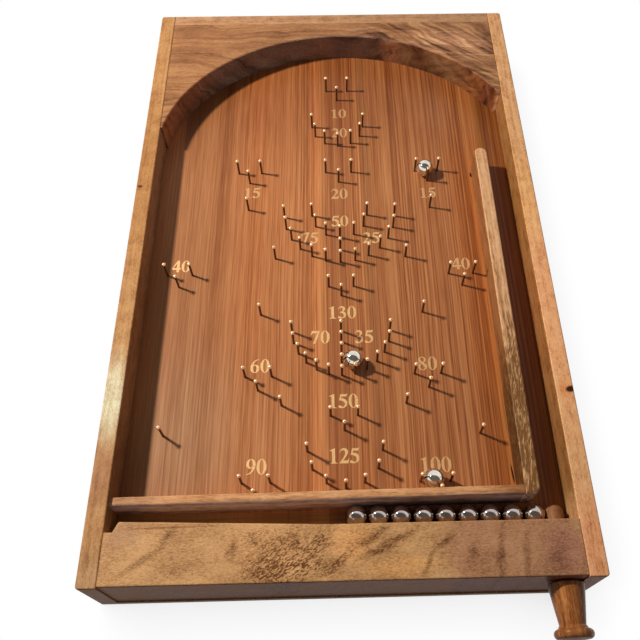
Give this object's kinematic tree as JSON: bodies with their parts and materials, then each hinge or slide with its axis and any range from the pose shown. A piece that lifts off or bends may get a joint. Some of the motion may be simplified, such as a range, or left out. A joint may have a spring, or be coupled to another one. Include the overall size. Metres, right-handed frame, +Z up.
{
  "type": "bagatelle board game",
  "caption": "Wooden bagatelle board with an arched playfield of round-headed pins, score cups, a firing lane with a sprung plunger, a ball trough and loose steel balls.",
  "frame": {"origin": "centre of the case's flat underside, on the surface the board lies on", "axes": "+X towards the player's right, +Y up the board away from the player, +Z up"},
  "size_m": [0.355, 0.6068, 0.06],
  "materials": {
    "frame_wood": "oiled hardwood, satin",
    "block_wood": "oiled figured hardwood, satin",
    "arch_wood": "oiled figured hardwood, satin",
    "field_veneer": "straight-grained reddish veneer, satin",
    "base_ply": "sanded plywood",
    "bearer_wood": "plain softwood",
    "strip_wood": "oiled hardwood, satin",
    "handle_wood": "turned hardwood, polished",
    "rod_wood": "turned hardwood dowel",
    "pin_brass": "bright brass",
    "ball_steel": "polished steel",
    "steel": "zinc-plated steel"
  },
  "bodies": {
    "board": {"left_rail": "frame_wood", "right_rail": "frame_wood", "back_rail": "frame_wood", "front_block": "block_wood", "arch_block": "arch_wood", "playfield_panel": "field_veneer", "base_panel": "base_ply", "bearer_left": "bearer_wood", "bearer_right": "bearer_wood", "cross_bearers": "bearer_wood", "lane_divider": "strip_wood", "trough_fence": "strip_wood", "base_screws": "steel", "frame_nails": "steel", "plunger_spring": "steel", "ten_pins": "pin_brass", "upper_twenty_pins": "pin_brass", "lower_twenty_pins": "pin_brass", "left_fifteen_pins": "pin_brass", "right_fifteen_pins": "pin_brass", "fifty_pins": "pin_brass", "seventy_five_pins": "pin_brass", "twenty_five_pins": "pin_brass", "upper_centre_pins": "pin_brass", "one_hundred_thirty_pins": "pin_brass", "left_forty_pins": "pin_brass", "right_forty_pins": "pin_brass", "seventy_pins": "pin_brass", "thirty_five_pins": "pin_brass", "lower_centre_pins": "pin_brass", "sixty_pins": "pin_brass", "eighty_pins": "pin_brass", "one_hundred_fifty_pins": "pin_brass", "one_hundred_twenty_five_pins": "pin_brass", "ninety_pins": "pin_brass", "one_hundred_pins": "pin_brass", "single_pins": "pin_brass"},
    "plunger": {"plunger_handle": "handle_wood", "plunger_rod": "rod_wood", "rod_collar": "steel", "collar_pin": "steel"},
    "trough_ball_1": {"trough_ball_1": "ball_steel"},
    "trough_ball_2": {"trough_ball_2": "ball_steel"},
    "trough_ball_3": {"trough_ball_3": "ball_steel"},
    "trough_ball_4": {"trough_ball_4": "ball_steel"},
    "trough_ball_5": {"trough_ball_5": "ball_steel"},
    "trough_ball_6": {"trough_ball_6": "ball_steel"},
    "trough_ball_7": {"trough_ball_7": "ball_steel"},
    "trough_ball_8": {"trough_ball_8": "ball_steel"},
    "trough_ball_9": {"trough_ball_9": "ball_steel"},
    "field_ball_fifteen": {"field_ball_fifteen": "ball_steel"},
    "field_ball_thirty_five": {"field_ball_thirty_five": "ball_steel"},
    "field_ball_hundred": {"field_ball_hundred": "ball_steel"}
  },
  "joints": [
    {"name": "plunger_slide", "type": "slide", "parent": "board", "child": "plunger", "axis": [0, -1, 0], "range_m": [0, 0.018], "stiffness_N_per_m": 300, "springref_m": -0.01, "deforming": ["plunger_spring"]},
    {"name": "trough_ball_1_roll", "type": "slide", "parent": "board", "child": "trough_ball_1", "axis": [-1, 0, 0], "range_m": [0, 0.055]},
    {"name": "trough_ball_2_roll", "type": "slide", "parent": "board", "child": "trough_ball_2", "axis": [-1, 0, 0], "range_m": [0, 0.055]},
    {"name": "trough_ball_3_roll", "type": "slide", "parent": "board", "child": "trough_ball_3", "axis": [-1, 0, 0], "range_m": [0, 0.055]},
    {"name": "trough_ball_4_roll", "type": "slide", "parent": "board", "child": "trough_ball_4", "axis": [-1, 0, 0], "range_m": [0, 0.055]},
    {"name": "trough_ball_5_roll", "type": "slide", "parent": "board", "child": "trough_ball_5", "axis": [-1, 0, 0], "range_m": [0, 0.055]},
    {"name": "trough_ball_6_roll", "type": "slide", "parent": "board", "child": "trough_ball_6", "axis": [-1, 0, 0], "range_m": [0, 0.055]},
    {"name": "trough_ball_7_roll", "type": "slide", "parent": "board", "child": "trough_ball_7", "axis": [-1, 0, 0], "range_m": [0, 0.055]},
    {"name": "trough_ball_8_roll", "type": "slide", "parent": "board", "child": "trough_ball_8", "axis": [-1, 0, 0], "range_m": [0, 0.055]},
    {"name": "trough_ball_9_roll", "type": "slide", "parent": "board", "child": "trough_ball_9", "axis": [-1, 0, 0], "range_m": [0, 0.055]},
    {"name": "field_ball_fifteen_roll", "type": "slide", "parent": "board", "child": "field_ball_fifteen", "axis": [0.454, 0.891, 0], "range_m": [0, 0.06]},
    {"name": "field_ball_thirty_five_roll", "type": "slide", "parent": "board", "child": "field_ball_thirty_five", "axis": [0, 1, 0], "range_m": [0, 0.055]},
    {"name": "field_ball_hundred_roll", "type": "slide", "parent": "board", "child": "field_ball_hundred", "axis": [0.2588, 0.9659, 0], "range_m": [0, 0.05]}
  ],
  "couplings": [
    {"joint": "trough_ball_2_roll", "follows": "trough_ball_1_roll", "ratio": 1},
    {"joint": "trough_ball_3_roll", "follows": "trough_ball_1_roll", "ratio": 1},
    {"joint": "trough_ball_4_roll", "follows": "trough_ball_1_roll", "ratio": 1},
    {"joint": "trough_ball_5_roll", "follows": "trough_ball_1_roll", "ratio": 1},
    {"joint": "trough_ball_6_roll", "follows": "trough_ball_1_roll", "ratio": 1},
    {"joint": "trough_ball_7_roll", "follows": "trough_ball_1_roll", "ratio": 1},
    {"joint": "trough_ball_8_roll", "follows": "trough_ball_1_roll", "ratio": 1},
    {"joint": "trough_ball_9_roll", "follows": "trough_ball_1_roll", "ratio": 1}
  ]
}
